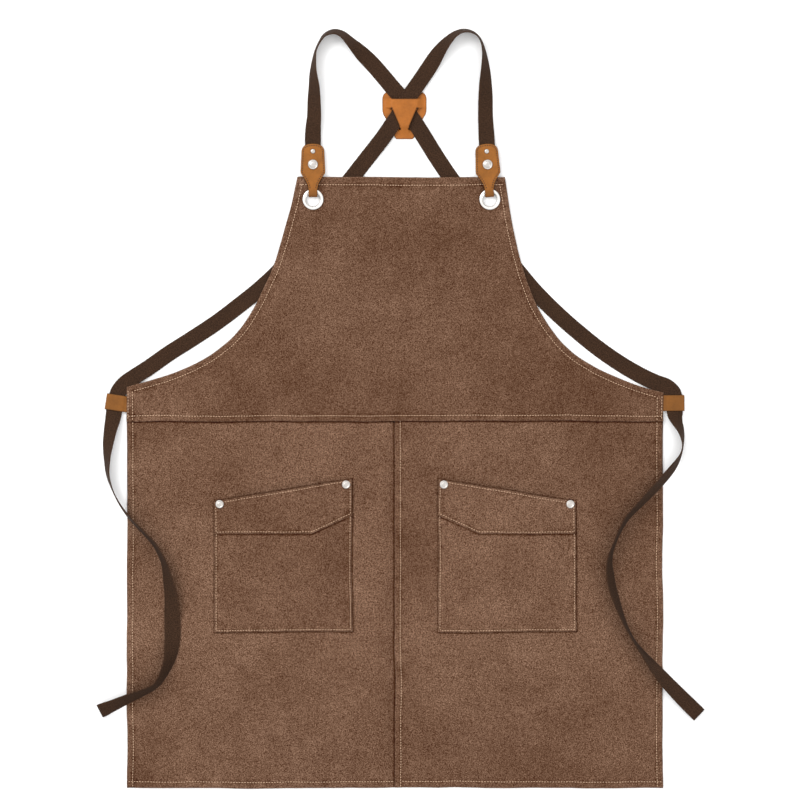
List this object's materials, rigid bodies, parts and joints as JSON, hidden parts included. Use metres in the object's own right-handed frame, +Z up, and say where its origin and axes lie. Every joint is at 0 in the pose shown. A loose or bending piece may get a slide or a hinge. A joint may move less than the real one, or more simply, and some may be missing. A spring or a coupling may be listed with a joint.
{
  "type": "butcher apron",
  "caption": "Brown canvas cross-back bib apron lying flat, with riveted slanted hip pockets, webbing straps on snapped leather tabs, a leather strap keeper and side loops.",
  "frame": {"origin": "on the flat surface the apron lies on, under the middle of its box without the straps", "axes": "+Z up out of the apron's front, +Y from the hem to the neck, +X to the apron's right in a view of its front"},
  "size_m": [0.7593, 0.9493, 0.0234],
  "materials": {
    "canvas": "matt brown cotton canvas, fine flecked weave",
    "brown_webbing": "dark brown cotton webbing",
    "tan_leather": "smooth tan leather, satin",
    "keeper_leather": "smooth orange tan leather, satin, pressed edge line",
    "nickel": "polished nickel plate"
  },
  "bodies": {
    "apron": {"bib_panel": "canvas", "cross_keeper": "keeper_leather", "grommet_left": "nickel", "grommet_right": "nickel", "grommet_washer_left": "nickel", "grommet_washer_right": "nickel", "pocket_bag_left": "canvas", "pocket_bag_right": "canvas", "pocket_burr_left_inner": "nickel", "pocket_burr_left_outer": "nickel", "pocket_burr_right_inner": "nickel", "pocket_burr_right_outer": "nickel", "pocket_facing_left": "canvas", "pocket_facing_right": "canvas", "pocket_rivet_left_inner": "nickel", "pocket_rivet_left_outer": "nickel", "pocket_rivet_right_inner": "nickel", "pocket_rivet_right_outer": "nickel", "shoulder_strap_left": "brown_webbing", "shoulder_strap_right": "brown_webbing", "side_loop_left": "tan_leather", "side_loop_right": "tan_leather", "skirt_panel_left": "canvas", "skirt_panel_right": "canvas", "snap_eyelet_left": "nickel", "snap_eyelet_right": "nickel", "snap_stud_left": "nickel", "snap_stud_right": "nickel", "tab_tongue_left": "tan_leather", "tab_tongue_right": "tan_leather"},
    "left_tab": {"tab_head_left": "tan_leather", "snap_cap_left": "nickel", "snap_socket_left": "nickel", "strap_end_left": "brown_webbing", "tab_rivet_left": "nickel", "tab_burr_left": "nickel"},
    "right_tab": {"tab_head_right": "tan_leather", "snap_cap_right": "nickel", "snap_socket_right": "nickel", "strap_end_right": "brown_webbing", "tab_rivet_right": "nickel", "tab_burr_right": "nickel"},
    "left_tie": {"tie_strap_left": "brown_webbing"},
    "right_tie": {"tie_strap_right": "brown_webbing"}
  },
  "joints": [
    {"name": "left_snap_tab", "type": "hinge", "parent": "apron", "child": "left_tab", "pos_m": [-0.1024, 0.33915, 0.00755], "axis": [1, 0, 0], "range_deg": [0, 165]},
    {"name": "right_snap_tab", "type": "hinge", "parent": "apron", "child": "right_tab", "pos_m": [0.118, 0.33914, 0.00755], "axis": [0.9978, 0.0663, 0], "range_deg": [0, 165]},
    {"name": "left_tie", "type": "hinge", "parent": "apron", "child": "left_tie", "pos_m": [-0.351, 0.067, 0.0034], "axis": [-0.9879, 0.155, 0], "range_deg": [0, 90]},
    {"name": "right_tie", "type": "hinge", "parent": "apron", "child": "right_tie", "pos_m": [0.3495, 0.0666, 0.0034], "axis": [-1, 0, 0], "range_deg": [0, 90]}
  ]
}
